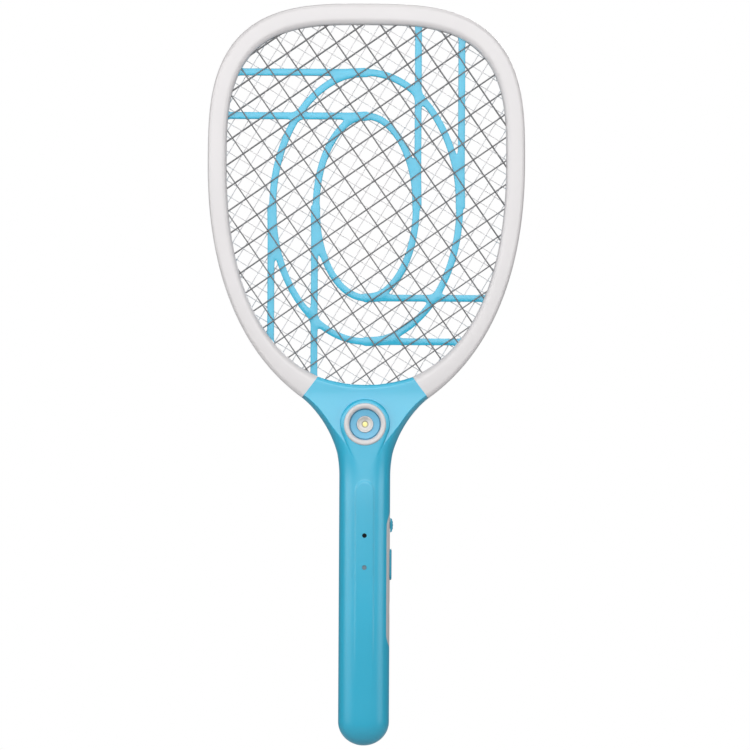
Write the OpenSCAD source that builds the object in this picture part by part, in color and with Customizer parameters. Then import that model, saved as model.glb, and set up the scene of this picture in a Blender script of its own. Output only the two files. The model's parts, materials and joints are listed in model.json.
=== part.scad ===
// Electric fly swatter. A racket head carries three wire grids kept apart by two
// ribbed spacers. A two-shell handle holds the torch, the side controls, the
// rechargeable cell and the high-voltage board.
// The handle stands along Z, the front faces -Y and the origin is the grip centre.

/* [Head] */
// Overall width of the head
head_w = 218; // [216:0.5:220]
// Height of the head's top above the grip centre
head_top = 410; // [408:0.5:412]
// Height at which the head is widest
head_mid = 299; // [297:0.5:301]
// Squareness of the head's upper half, where 2 is an ellipse
head_square = 3.1; // [2.9:0.05:3.3]
// Width of the frame at the sides
frame_w = 12.8; // [12:0.1:13.4]
// Width of the frame at the top
frame_top_w = 14.4; // [13.5:0.1:15]
// Half of the head's depth, from the parting plane to its front face
head_d = 9.25; // [9.1:0.05:9.4]
// Wall thickness of the frame mouldings
frame_wall = 2; // [1.8:0.1:2.2]

/* [Grids] */
// Side of the square section of the outer grids' wires
wire = 1; // [0.9:0.05:1.1]
// Side of the square section of the middle grid's wires
fine_wire = 0.6; // [0.5:0.05:0.8]
// Pitch of the outer grids' wires that rise to the right
pitch_rise = 13.3; // [12.5:0.1:14]
// Pitch of the outer grids' wires that fall to the right
pitch_fall = 16; // [15:0.1:17]
// Angle of the rising wires above the horizontal
grid_angle = 34.8; // [33:0.1:36]
// Pitch of the middle grid's wires in both directions
fine_pitch = 8.6; // [8.2:0.1:9]
// Angle of the middle grid's rising wires above the horizontal
fine_angle = 59; // [57:0.5:61]
// Thickness of each ribbed spacer
spacer_t = 3.8; // [3.7:0.05:3.85]
// Width of a spacer rib
rib_w = 4.7; // [4.2:0.1:5.2]

/* [Handle] */
// Half-width of the handle
grip_r = 17.5; // [17.3:0.1:17.8]
// Half-depth of the handle
grip_d = 16; // [15.8:0.1:16.3]
// Height of the handle's lowest point
grip_bottom = -100; // [-101:0.5:-99]
// Wall thickness of the handle shells
shell_wall = 2; // [1.8:0.1:2.2]

/* [Torch] */
// Height of the torch's centre
torch_z = 121; // [120:0.5:122]
// Outer diameter of the torch bezel
bezel_d = 28.9; // [28:0.1:29.5]
// Inner diameter of the torch bezel
bezel_bore = 21.6; // [21:0.1:22]

/* [Side controls] */
// Travel of the slide switch, from off through torch to swat
slide_travel = 4; // [3:0.5:4]
// Travel of the swat button
press_travel = 1; // [0.8:0.1:1]
// Height of the slide switch knob's centre
knob_z = 51.6; // [51:0.1:52]
// Height of the swat button's centre
button_z = 24.6; // [24:0.1:25]
// Height of the charging socket's centre
socket_z = -6; // [-7:0.5:-5]

/* [Hidden] */
$fn = 48;

shell_blue = [0.35, 0.73, 0.86];
frame_white = [0.93, 0.92, 0.92];

// Head outline: a superellipse above head_mid and one Bezier curve down each side.
neck_outer = [43.5, 139];
neck_inner = [32.5, 153.6];
up_steps = 22;
low_steps = 14;
throat_z = 148;

// Handle neck: one Bezier curve from the frame's end to the straight grip.
neck_curve = [neck_outer, [33, 131], [20, 113], [grip_r, 93]];
neck_steps = 10;
cap_h = 16.5;
cap_steps = 7;
corner_steps = 7;

// Layers of the head, front face of each, as distances from the parting plane.
spacer_y = fine_wire / 2 + 0.1;
outer_grid_y = spacer_y + spacer_t + 0.1;
lip_y = outer_grid_y + wire + 0.1;
stack_f = 0.34;
stack_low_z = 141.5;

// Frame screws, as [side, index along the half outline].
frame_screw_stations = [[1, 0], [1, 13], [-1, 13], [1, 24], [-1, 24], [1, 31], [-1, 31]];
frame_screw_f = 0.6;
frame_seat_y = head_d - 1.5;
// Screws, as [x, z]: two through the frame's tabs and three through the grip's bosses.
tab_angle = atan2(neck_inner[0] - neck_outer[0], neck_inner[1] - neck_outer[1]);
tab_len = 12;
tab_screw = [-10, 4.6];
tab_screw_x = neck_outer[0] + tab_screw[0] * cos(tab_angle) + tab_screw[1] * sin(tab_angle);
tab_screw_z = neck_outer[1] - tab_screw[0] * sin(tab_angle) + tab_screw[1] * cos(tab_angle);
neck_screw_places = [[-tab_screw_x, tab_screw_z], [tab_screw_x, tab_screw_z]];
grip_screw_places = [[0, 98], [0, -18], [0, -93]];
neck_seat_y = 8;
grip_seat_y = 9;

strip_x = 14.2;
strip_len = 93.4;
strip_w = 20;
strip_z = 13.9;
strip_bow_r = 23.4;
board_y = 3;
board_t = 1.6;
cell_r = 9.2;
cell_len = 65;
cell_z = -88;
led_r = 1.5;
led_places = [44.6, 22.7];
torch_face_y = 15.5;
contact_x = 19;

// ---------- curves ----------
function bez(p, t) =
    p[0] * pow(1 - t, 3) + 3 * p[1] * t * pow(1 - t, 2)
    + 3 * p[2] * t * t * (1 - t) + p[3] * pow(t, 3);

function super_r(t, a, b, n) =
    pow(pow(abs(cos(t)) / a, n) + pow(abs(sin(t)) / b, n), -1 / n);

function half_outline(a, b, n, low) = [
    for (i = [0 : up_steps])
        let (t = 90 - 90 * i / up_steps, r = super_r(t, a, b, n))
        [r * cos(t), head_mid + r * sin(t)],
    // one step past the neck, which the frame's end cut removes
    for (i = [1 : low_steps + 1]) bez(low, i / low_steps)
];

outer_a = head_w / 2;
inner_a = outer_a - frame_w;
outer_half = half_outline(outer_a, head_top - head_mid, head_square,
    [[outer_a, head_mid], [outer_a, head_mid - 66], [90.5, 173], neck_outer]);
inner_half = half_outline(inner_a, head_top - frame_top_w - head_mid, head_square + 0.1,
    [[inner_a, head_mid], [inner_a, head_mid - 60], [82.5, 176.5], neck_inner]);

// Point of the frame at a share f of its width, 0 on the outside and 1 at the opening.
function frame_pt(side, i, f) =
    let (p = outer_half[i] + f * (inner_half[i] - outer_half[i])) [side * p[0], p[1]];

last = len(outer_half) - 2;

function frame_curve(f, end = last) = concat(
    [for (i = [end : -1 : 1]) frame_pt(-1, i, f)],
    [for (i = [0 : end]) frame_pt(1, i, f)]
);

// Arc that hangs between two points of equal height, from right to left.
function hanging_arc(x, z, low, steps = 12) =
    let (r = (x * x + pow(z - low, 2)) / (2 * (z - low)), a = asin(x / r))
    [for (i = [0 : steps]) let (t = a - 2 * a * i / steps) [r * sin(t), low + r - r * cos(t)]];

// Closed outline of the grids and spacers, shrunk by a share of the frame's width.
function stack_outline(f, low) =
    let (end = frame_pt(1, last, f))
    concat(frame_curve(f), hanging_arc(end[0], end[1], low));

// ---------- solids from rings of points ----------
module skin(rings) {
    n = len(rings[0]);
    m = len(rings);
    polyhedron(
        points = [for (ring = rings) each ring],
        faces = concat(
            [[for (j = [0 : n - 1]) j]],
            [for (i = [0 : m - 2], j = [0 : n - 1])
                let (k = (j + 1) % n) [i * n + j, (i + 1) * n + j, (i + 1) * n + k, i * n + k]],
            [[for (j = [n - 1 : -1 : 0]) (m - 1) * n + j]]
        )
    );
}

module in_front(y0, y1) {
    translate([0, -y0, 0])
        rotate([90, 0, 0])
            linear_extrude(y1 - y0)
                children();
}

module pin_y(x, z, y0, y1, r) {
    translate([x, y0, z])
        rotate([-90, 0, 0])
            cylinder(r = r, h = y1 - y0);
}

module pin_x(y, z, x0, x1, r) {
    translate([x0, y, z])
        rotate([0, 90, 0])
            cylinder(r = r, h = x1 - x0);
}

module box(lo, hi) {
    translate(lo)
        cube(hi - lo);
}

// Stadium in the YZ plane, extruded along X.
module side_stadium(z, len, w, x0, x1) {
    box([x0, -w / 2, z - len / 2 + w / 2], [x1, w / 2, z + len / 2 - w / 2]);
    for (s = [-1, 1])
        pin_x(0, z + s * (len - w) / 2, x0, x1, w / 2);
}

module spun_y(x, z) {
    translate([x, 0, z])
        rotate([90, 0, 0])
            rotate_extrude()
                children();
}

// ---------- head frame ----------
module frame_channel() {
    wall_f = frame_wall / frame_w;
    section = [
        [0, 0], [0, 6.9], [0.05, 8.4], [0.18, head_d], [0.84, head_d],
        [0.95, 8.7], [1, 7.7], [1, lip_y], [1 - wall_f, lip_y],
        [1 - wall_f, head_d - frame_wall], [wall_f, head_d - frame_wall], [wall_f, 0]
    ];
    curves = [for (s = section) frame_curve(s[0], last + 1)];
    skin([for (i = [0 : 2 * last + 2])
        [for (j = [0 : len(section) - 1]) [curves[j][i][0], -section[j][1], curves[j][i][1]]]]);
}

// Places its children at a frame end, with X along the frame and Z across it.
module at_frame_end(side) {
    mirror([side < 0 ? 1 : 0, 0, 0])
        translate([neck_outer[0], 0, neck_outer[1]])
            rotate([0, tab_angle, 0])
                children();
}

// Tab that the frame's end reaches into the neck with, for the neck screw.
module frame_tab(side, grow) {
    at_frame_end(side) {
        box([-tab_len - grow, -6.6 - grow, 2.4 - grow], [1, -0.1 + grow, 5.6 + grow]);
        box([0.5, -6.6, 1.5], [4, -0.1, 5.6]);
        pin_y(tab_screw[0], tab_screw[1], -6.6 - grow, -0.1 + grow, 2.6 + grow);
    }
}

module head_frame_half(front) {
    bore_r = front ? 0.9 : 1.25;
    difference() {
        union() {
            difference() {
                frame_channel();
                for (side = [-1, 1])
                    at_frame_end(side)
                        box([-20, -15, -10], [0, 1, 30]);
            }
            for (s = frame_screw_stations)
                let (p = frame_pt(s[0], s[1], frame_screw_f))
                pin_y(p[0], p[1], -head_d + frame_wall / 2, -0.05, 2.1);
            for (side = [-1, 1])
                frame_tab(side, 0);
        }
        for (s = frame_screw_stations)
            let (p = frame_pt(s[0], s[1], frame_screw_f)) {
                pin_y(p[0], p[1], front ? -6.6 : -head_d - 1, 1, bore_r);
                if (!front)
                    pin_y(p[0], p[1], -head_d - 1, -frame_seat_y, 2.15);
            }
        for (p = neck_screw_places)
            pin_y(p[0], p[1], -8, 1, front ? 1.05 : 1.5);
    }
}

module head_frame_front() {
    color(frame_white)
        head_frame_half(true);
}

module head_frame_rear() {
    color(frame_white)
        mirror([0, 1, 0])
            head_frame_half(false);
}

module head_frame_screws() {
    color("silver")
        for (s = frame_screw_stations)
            pan_screw(frame_pt(s[0], s[1], frame_screw_f), -5.6, frame_seat_y, 1.2, 0.85, 2);
}

// ---------- grids ----------
// Openings between crossing wires, counted along and across the rising wires.
module cells(angle, pitch, shift, w, count) {
    translate([0, 275.2])
        rotate(angle)
            for (i = [-count[0] : count[0]], j = [-count[1] : count[1]])
                translate([shift[0] + i * pitch[0] + w / 2, shift[1] + j * pitch[1] + w / 2])
                    square([pitch[0] - w, pitch[1] - w]);
}

module stack_holes() {
    for (s = frame_screw_stations)
        translate(frame_pt(s[0], s[1], frame_screw_f))
            circle(r = 2.3);
}

// A sheet of the head's outline with the openings cut out of it inside its rim.
module wire_mesh() {
    difference() {
        polygon(stack_outline(stack_f, stack_low_z));
        intersection() {
            polygon(stack_outline(0.86, stack_low_z + 3));
            children();
        }
        stack_holes();
    }
}

module outer_mesh() {
    wire_mesh()
        cells(grid_angle, [pitch_fall, pitch_rise], [-3.7, -5.76], wire, [10, 11]);
}

module contact_tab(x, y, t) {
    box([x - 2.5, y, stack_low_z - 5], [x + 2.5, y + t, stack_low_z + 2.5]);
}

module front_grid() {
    color("dimgray") {
        in_front(outer_grid_y, outer_grid_y + wire)
            outer_mesh();
        contact_tab(contact_x, -outer_grid_y - wire, wire);
    }
}

module rear_grid() {
    color("dimgray") {
        in_front(-outer_grid_y - wire, -outer_grid_y)
            outer_mesh();
        contact_tab(contact_x, outer_grid_y, wire);
    }
}

module middle_grid() {
    color("silver") {
        in_front(-fine_wire / 2, fine_wire / 2)
            wire_mesh()
                cells(fine_angle, [fine_pitch, fine_pitch], [-3.87, -5.58], fine_wire, [17, 17]);
        contact_tab(-contact_x, -fine_wire / 2, fine_wire);
    }
}

// ---------- ribbed spacers ----------
oval_z = 270.3;
outer_oval = [64.3, 92.5];
inner_oval = [34.4, 62.5];

module oval_ring(half) {
    difference() {
        polygon([for (i = [0 : 71]) [(half[0] + rib_w / 2) * cos(5 * i),
            oval_z + (half[1] + rib_w / 2) * sin(5 * i)]]);
        polygon([for (i = [0 : 71]) [(half[0] - rib_w / 2) * cos(5 * i),
            oval_z + (half[1] - rib_w / 2) * sin(5 * i)]]);
    }
}

module rib_bars() {
    for (half = [outer_oval, inner_oval])
        let (x = half[0] + 1, z = half[1]) {
            // level bars run from an oval's top to the left and from its bottom to the right
            translate([-120, oval_z + z - rib_w / 2])
                square([120, rib_w]);
            translate([0, oval_z - z - rib_w / 2])
                square([120, rib_w]);
            // upright bars run up from its right side and down from its left side
            translate([x - rib_w / 2, oval_z])
                square([rib_w, 150]);
            translate([-x - rib_w / 2, oval_z - 150])
                square([rib_w, 150]);
        }
}

module spacer(y0) {
    in_front(y0, y0 + spacer_t)
        difference() {
            union() {
                intersection() {
                    polygon(stack_outline(stack_f + 0.05, stack_low_z + 0.5));
                    union() {
                        rib_bars();
                        oval_ring(outer_oval);
                        oval_ring(inner_oval);
                    }
                }
                difference() {
                    polygon(stack_outline(stack_f, stack_low_z));
                    polygon(stack_outline(0.92, stack_low_z + 5));
                }
            }
            stack_holes();
        }
}

module spacer_front() {
    color(shell_blue)
        spacer(spacer_y);
}

module spacer_rear() {
    color(shell_blue)
        spacer(-spacer_y - spacer_t);
}

// Brass clips, one on each grid's tab, that the leads are soldered to.
module grid_contacts() {
    color("goldenrod")
        for (c = [[contact_x, -outer_grid_y - wire, wire], [contact_x, outer_grid_y, wire],
                [-contact_x, -fine_wire / 2, fine_wire]])
            difference() {
                box([c[0] - 3.2, c[1] - 0.5, stack_low_z - 6.5],
                    [c[0] + 3.2, c[1] + c[2] + 0.5, stack_low_z - 1.5]);
                box([c[0] - 2.55, c[1] - 0.05, stack_low_z - 5.05],
                    [c[0] + 2.55, c[1] + c[2] + 0.05, stack_low_z]);
            }
}

// ---------- handle ----------
function smooth(t) = let (u = min(1, max(0, t))) u * u * (3 - 2 * u);

// Half-depth of the handle at height z, and how far its edge rounding reaches inwards.
function depth_at(z) = grip_d + (head_d - grip_d) * smooth((z - 88) / 44);
function edge_at(z, hw) = 0.95 * hw + (5.5 - 0.95 * hw) * smooth((z - 80) / 40);

// Stations as [height, half-width, share of the full depth].
function stations() = concat(
    [for (i = [cap_steps : -1 : 1])
        let (a = 87 * i / cap_steps)
        [grip_bottom + cap_h - cap_h * sin(a) / sin(87), grip_r * cos(a), cos(a)]],
    [[grip_bottom + cap_h, grip_r, 1], [-20, grip_r, 1], [40, grip_r, 1], [80, grip_r, 1]],
    [for (i = [neck_steps : -1 : 0])
        let (p = bez(neck_curve, i / neck_steps)) [p[1], p[0], 1]],
    [for (z = [145, 152, 160]) [z, neck_outer[0] + (z - neck_outer[1]) * 1.38, 1]]
);

function quarter(i, m) = let (t = 90 * i / corner_steps, r = super_r(t, 1, 1, m)) [r * cos(t), r * sin(t)];

function half_section(z, hw, hd, rx) = [
    for (i = [0 : corner_steps])
        let (q = quarter(i, 2.6)) [-hw + rx - rx * q[0], -hd * q[1], z],
    for (i = [corner_steps : -1 : 0])
        let (q = quarter(i, 2.6)) [hw - rx + rx * q[0], -hd * q[1], z]
];

module handle_loft(t) {
    skin([for (s = stations())
        let (
            full = depth_at(s[0]),
            k = (full - t) / full,
            wide = s[2] < 1 ? s[1] * (grip_r - t) / grip_r : s[1] - t,
            z = s[2] < 1 ? grip_bottom + cap_h + (s[0] - grip_bottom - cap_h) * (cap_h - t) / cap_h : s[0]
        )
        half_section(z, wide, full * s[2] * k, edge_at(s[0], s[1]) * wide / s[1])]);
}

// Region of the handle mouldings seen from the front, with its top edge moved in by t.
module neck_region(t) {
    side = neck_outer - neck_inner;
    unit = side / norm(side);
    normal = [unit[1], -unit[0]];
    top = neck_inner + t * [-0.9, -1.1];
    low = neck_outer + t * normal;
    below = low + 4 * unit;
    polygon(concat(
        hanging_arc(top[0], top[1], throat_z - t),
        [[-low[0], low[1]], [-below[0], below[1]], [-60, 128], [-60, -120],
            [60, -120], [60, 128], below, low]
    ));
}

module handle_ribs_and_bosses(front) {
    for (p = grip_screw_places)
        pin_y(p[0], p[1], -20, 0, 3);
    for (p = neck_screw_places)
        pin_y(p[0], p[1], -20, -6.8, 3);
    for (z = [-78, -55.5, -33])
        difference() {
            box([-20, -20, z - 0.8], [20, 0, z + 0.8]);
            translate([0, 0, z - 2])
                cylinder(r = cell_r + 0.3, h = 4);
            // notch for the cell's negative lead
            box([-13.4, -1.7, z - 2], [-9, 1, z + 2]);
        }
    for (p = [[-9, 84], [-9.5, -9]])
        pin_y(p[0], p[1], -20, front ? 0 : -board_y - board_t - 0.1, 1.8);
}

module screw_hole(p, seat) {
    pin_y(p[0], p[1], -20, 1, 1.5);
    pin_y(p[0], p[1], -20, -seat, 2.9);
}

module handle_half(front) {
    difference() {
        intersection() {
            union() {
                handle_loft(0);
                if (front)
                    pin_y(0, torch_z, -torch_face_y, -head_d + 1, 17);
            }
            in_front(-1, 30)
                neck_region(0);
        }
        difference() {
            intersection() {
                handle_loft(shell_wall);
                in_front(-2, 40)
                    neck_region(shell_wall);
            }
            handle_ribs_and_bosses(front);
        }
        // slot that takes the edges of the grids and spacers
        in_front(-1, lip_y)
            polygon(concat(hanging_arc(46, stack_low_z + 3, stack_low_z - 0.3), [[-46, 175], [46, 175]]));
        for (side = [-1, 1])
            frame_tab(side, 0.15);
        // recess for the side strip
        side_stadium(strip_z, strip_len + 0.3, strip_w + 0.3, strip_x - 3, 25);
        if (front) {
            pin_y(0, torch_z, -20, -6.5, 12.5);
            for (z = led_places)
                pin_y(0, z, -20, -10, led_r + 0.1);
            for (p = grip_screw_places)
                pin_y(p[0], p[1], -6.5, 1, 1.05);
        } else {
            for (p = grip_screw_places)
                screw_hole(p, grip_seat_y);
            for (p = neck_screw_places)
                screw_hole(p, neck_seat_y);
        }
    }
}

module handle_front_shell() {
    color(shell_blue)
        handle_half(true);
}

module handle_rear_shell() {
    color(shell_blue)
        mirror([0, 1, 0])
            handle_half(false);
}

module pan_screw(p, tip, seat, head_h, shank_r, head_r) {
    pin_y(p[0], p[1], tip, seat + 0.5, shank_r);
    difference() {
        pin_y(p[0], p[1], seat + 0.02, seat + head_h, head_r);
        for (a = [0, 90])
            translate([p[0], seat + head_h, p[1]])
                rotate([0, a, 0])
                    cube([1.2 * head_r, head_h, 0.25 * head_r], center = true);
    }
}

module handle_screws() {
    color("silver") {
        for (p = grip_screw_places)
            pan_screw(p, -6, grip_seat_y, 1.7, 1, 2.6);
        for (p = neck_screw_places)
            pan_screw(p, -6, neck_seat_y, 1.1, 1, 2.6);
    }
}

// ---------- torch ----------
module torch_bezel() {
    lip = bezel_d / 2;
    bore = bezel_bore / 2;
    color(frame_white)
        spun_y(0, torch_z)
            polygon([[bore, 10.5], [12.4, 10.5], [12.4, torch_face_y + 0.02], [lip, torch_face_y + 0.02],
                [lip, torch_face_y + 0.6], [lip - 0.9, torch_face_y + 1.2], [bore + 0.9, torch_face_y + 1.2],
                [bore, torch_face_y + 0.6]]);
}

module torch_dish() {
    color([0.55, 0.78, 0.9])
        spun_y(0, torch_z)
            polygon([[5.7, 10.6], [6.7, 10.6], [6.7, 12.2], [bezel_bore / 2 - 0.05, 12.2],
                [bezel_bore / 2 - 0.05, 13.7], [5.7, 13.7]]);
}

module torch_reflector() {
    color("whitesmoke")
        spun_y(0, torch_z)
            polygon([[2.6, 8.6], [5.6, 8.6], [5.6, 14], [4.9, 14], [4.4, 12.8], [2.6, 9.9]]);
}

module torch_led() {
    color("ivory")
        difference() {
            box([-1.75, -9.7, torch_z - 1.75], [1.75, -8.55, torch_z + 1.75]);
            pin_y(0, torch_z, -9.8, -9.2, 1.45);
        }
}

module torch_led_chip() {
    color("khaki")
        pin_y(0, torch_z, -9.75, -9.22, 1.4);
}

module torch_board() {
    color("seagreen")
        pin_y(0, torch_z, -8.5, -7.3, 7);
}

// ---------- side controls ----------
module side_strip() {
    color(frame_white)
        difference() {
            intersection() {
                side_stadium(strip_z, strip_len, strip_w, strip_x, 19);
                translate([grip_r - strip_bow_r, 0, -60])
                    cylinder(r = strip_bow_r, h = 160, $fn = 96);
            }
            // slot for the slide switch's stem
            box([10, -2.3, knob_z - 2.8 - slide_travel], [20, 2.3, knob_z + 2.8]);
            side_stadium(button_z, 21.9, 7.3, 10, 20);
            side_stadium(socket_z, 9.5, 3.8, 10, 20);
        }
}

module slide_switch_knob() {
    dome_r = 6.9;
    color(shell_blue)
        difference() {
            union() {
                intersection() {
                    translate([grip_r + 2.2 - dome_r, 3.2, knob_z])
                        rotate([90, 0, 0])
                            cylinder(r = dome_r, h = 6.4);
                    box([grip_r + 0.15, -5, knob_z - 8], [30, 5, knob_z + 8]);
                }
                box([11.2, -2, knob_z - 2.4], [grip_r + 0.6, 2, knob_z + 2.4]);
            }
            box([11, -0.9, knob_z - 1.2], [14.4, 0.9, knob_z + 1.2]);
        }
}

module slide_switch_lever() {
    color("black") {
        box([8, -0.8, knob_z - 1.1], [14.3, 0.8, knob_z + 1.1]);
        box([7, -1.6, knob_z - 1.6], [8, 1.6, knob_z + 1.6]);
    }
}

module slide_switch_body() {
    mid = knob_z - slide_travel / 2;
    color("silver")
        difference() {
            box([4.6, -2.95, mid - 6.5], [10.6, 2.95, mid + 6.5]);
            box([9.5, -1, mid - 1.3 - slide_travel / 2], [11, 1, mid + 1.3 + slide_travel / 2]);
            box([6.8, -1.8, mid - 1.8 - slide_travel / 2], [8.2, 1.8, mid + 1.8 + slide_travel / 2]);
            box([8, -1, mid - 1.3 - slide_travel / 2], [9.6, 1, mid + 1.3 + slide_travel / 2]);
        }
}

module swat_button() {
    color(shell_blue) {
        side_stadium(button_z, 21.4, 6.8, 13.9, grip_r + 1.25);
        side_stadium(button_z, 24.4, 9.4, 12.8, 14);
        pin_x(0, button_z, 11.72, 13, 2.2);
    }
}

module button_plunger() {
    color("black")
        pin_x(0, button_z, 8.6, 11.7, 1.7);
}

module button_switch_body() {
    color("dimgray")
        difference() {
            box([6.4, -2.95, button_z - 3], [10.4, 2.95, button_z + 3]);
            pin_x(0, button_z, 8.6 - press_travel - 0.2, 11, 1.8);
        }
}

module charging_socket() {
    color("silver")
        difference() {
            side_stadium(socket_z, 9, 3.2, 8.6, 15.8);
            side_stadium(socket_z, 8.4, 2.6, 9.6, 16.5);
        }
}

// ---------- electronics ----------
module circuit_board() {
    color("darkgreen")
        difference() {
            box([-12.5, board_y, -13], [10.5, board_y + board_t, 89]);
            for (p = [[-9, 84], [-9.5, -9]])
                pin_y(p[0], p[1], 2, 6, 1);
        }
}

module transformer_core() {
    color("dimgray")
        difference() {
            box([-10, -9.5, 63], [4, 2.95, 80]);
            box([-8, -10, 65.5], [-5.4, 3, 77.5]);
            box([-0.6, -10, 65.5], [2, 3, 77.5]);
        }
}

module transformer_winding() {
    color("orange")
        difference() {
            box([-7.8, -11.2, 65.8], [1.8, 2.9, 77.2]);
            box([-5.5, -9.6, 60], [-0.5, 3, 80]);
        }
}

module hv_capacitor() {
    color("firebrick")
        box([-12, -10, 27], [-4, 2.95, 45]);
}

module hv_diodes() {
    color("black")
        for (i = [0 : 3])
            translate([-10.5 + 3.6 * i, 1.55, 10])
                cylinder(r = 1.35, h = 5.2);
}

module resistors() {
    color("tan")
        for (i = [0 : 2])
            translate([-9.5 + 3.4 * i, 1.8, -2])
                cylinder(r = 1.1, h = 6.3);
}

module transistor() {
    color("black")
        difference() {
            translate([4.5, 0.5, 10])
                cylinder(r = 2.35, h = 4.6);
            box([1, 1.9, 9], [8, 4, 16]);
        }
}

module indicator_led(z) {
    pin_y(0, z, -15.3, -12, led_r);
    pin_y(0, z, -13.8, -12.9, 1.9);
    for (s = [-1, 1])
        box([s * 1.27 - 0.25, -12.1, z - 0.25], [s * 1.27 + 0.25, board_y, z + 0.25]);
}

module upper_indicator_led() {
    color("black")
        indicator_led(led_places[0]);
}

module lower_indicator_led() {
    color("lightgray")
        indicator_led(led_places[1]);
}

module battery_cell() {
    color("slateblue") {
        translate([0, 0, cell_z])
            cylinder(r = cell_r, h = cell_len - 0.8);
        translate([0, 0, cell_z + cell_len - 1])
            cylinder(r = 3, h = 1);
    }
}

module battery_tabs() {
    color("silver") {
        box([-3, -3, cell_z + cell_len], [9, 3, cell_z + cell_len + 0.3]);
        box([-9, -3, cell_z - 0.35], [3, 3, cell_z - 0.05]);
    }
}

// ---------- leads ----------
// Smooth curve through hand-set points.
function spline(p, per) = concat(
    [for (i = [0 : len(p) - 2], j = [0 : per - 1])
        let (
            a = p[max(0, i - 1)], b = p[i], c = p[i + 1], d = p[min(len(p) - 1, i + 2)], t = j / per
        )
        0.5 * (2 * b + (c - a) * t + (2 * a - 5 * b + 4 * c - d) * t * t
            + (3 * b - a - 3 * c + d) * t * t * t)],
    [p[len(p) - 1]]
);

module lead(route, r, ref = [0, 1, 0]) {
    p = spline(route, 4);
    n = len(p) - 1;
    skin([for (i = [0 : n])
        let (
            d = p[min(n, i + 1)] - p[max(0, i - 1)],
            u = cross(d, ref) / norm(cross(d, ref)),
            v = cross(u, d) / norm(cross(u, d))
        )
        [for (j = [0 : 7]) p[i] + r * (cos(45 * j) * u + sin(45 * j) * v)]]);
}

live_route = [[-19, 0, 134.6], [-21, 1, 127], [-20, 0, 114], [-13, -2, 101], [-9.5, 0, 93], [-6, 1.6, 87], [-6, 2.1, 84]];
ground_route = [[19, -5.2, 134.6], [21, -4, 127], [20, 0, 114], [13, 1, 101], [8, 0, 93], [6.5, 1.6, 87], [6.5, 2.1, 84]];
torch_route = [[3, -7.1, 121], [3.4, -5, 120.4], [5, -2, 112], [5.4, -1, 98], [3, 1, 90], [2.6, 2.2, 86]];
positive_route = [[6, 0, -22.4], [7, 1, -18], [6.5, 1.5, -13], [6.5, 2.1, -9]];
negative_route = [[-9.7, 0, -88], [-12.2, 0.5, -80], [-12.3, 0.5, -40], [-12, 0.8, -20], [-6.2, 2, -12], [-6, 2.2, -8]];

module live_grid_lead() {
    color("red")
        lead(live_route, 0.8);
}

module ground_grid_lead() {
    color("black")
        lead(ground_route, 0.8);
}

module torch_leads() {
    color("white") {
        lead(torch_route, 0.5, [1, 0, 0]);
        mirror([1, 0, 0])
            lead(torch_route, 0.5, [1, 0, 0]);
    }
}

module battery_leads() {
    color("red")
        lead(positive_route, 0.7);
    color("black")
        lead(negative_route, 0.7);
}

head_frame_front();
head_frame_rear();
front_grid();
middle_grid();
rear_grid();
spacer_front();
spacer_rear();
head_frame_screws();
grid_contacts();
handle_front_shell();
handle_rear_shell();
handle_screws();
torch_bezel();
torch_dish();
torch_reflector();
torch_led();
torch_led_chip();
torch_board();
side_strip();
slide_switch_knob();
slide_switch_lever();
slide_switch_body();
swat_button();
button_plunger();
button_switch_body();
circuit_board();
transformer_core();
transformer_winding();
hv_capacitor();
hv_diodes();
resistors();
transistor();
charging_socket();
upper_indicator_led();
lower_indicator_led();
battery_cell();
battery_tabs();
live_grid_lead();
ground_grid_lead();
torch_leads();
battery_leads();
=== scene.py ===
"""Looks of the electric fly swatter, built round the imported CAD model.

Lengths inside the builders are millimetres in the row frame and become metres in new_mesh().
"""

import json
import math

import bmesh
import bpy
import numpy as np
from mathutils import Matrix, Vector
from mathutils.geometry import delaunay_2d_cdt


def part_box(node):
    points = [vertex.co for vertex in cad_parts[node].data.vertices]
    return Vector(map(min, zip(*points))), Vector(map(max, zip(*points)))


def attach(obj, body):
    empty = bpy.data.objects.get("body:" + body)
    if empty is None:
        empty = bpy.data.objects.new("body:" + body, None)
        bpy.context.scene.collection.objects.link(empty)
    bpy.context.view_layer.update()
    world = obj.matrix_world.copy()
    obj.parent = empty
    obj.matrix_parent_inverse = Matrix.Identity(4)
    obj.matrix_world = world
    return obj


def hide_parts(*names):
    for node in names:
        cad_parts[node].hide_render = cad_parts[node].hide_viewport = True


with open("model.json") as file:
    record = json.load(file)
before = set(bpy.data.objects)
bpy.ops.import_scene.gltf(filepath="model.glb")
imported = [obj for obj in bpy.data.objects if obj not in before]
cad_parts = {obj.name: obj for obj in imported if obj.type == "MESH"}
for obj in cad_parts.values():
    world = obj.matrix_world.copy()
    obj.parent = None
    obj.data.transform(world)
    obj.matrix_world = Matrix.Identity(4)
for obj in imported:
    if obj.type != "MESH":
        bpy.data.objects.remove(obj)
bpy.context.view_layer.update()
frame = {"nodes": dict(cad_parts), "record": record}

MM = 0.001


def node_box(name):
    """Lowest and highest corner of a CAD node, in millimetres."""
    lo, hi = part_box(name)
    return lo / MM, hi / MM


# ---------- sizes from the frame
frame_lo, frame_hi = node_box("head_frame_front")
grip_lo, _ = node_box("handle_rear_shell")
bezel_lo, bezel_hi = node_box("torch_bezel")
dish_lo, dish_hi = node_box("torch_dish")
reflector_lo, reflector_hi = node_box("torch_reflector")
led_lo, led_hi = node_box("torch_led")
strip_lo, strip_hi = node_box("side_strip")
knob_lo, knob_hi = node_box("slide_switch_knob")
button_lo, button_hi = node_box("swat_button")
socket_lo, socket_hi = node_box("charging_socket")
outer_grid_lo, outer_grid_hi = node_box("front_grid")

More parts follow.
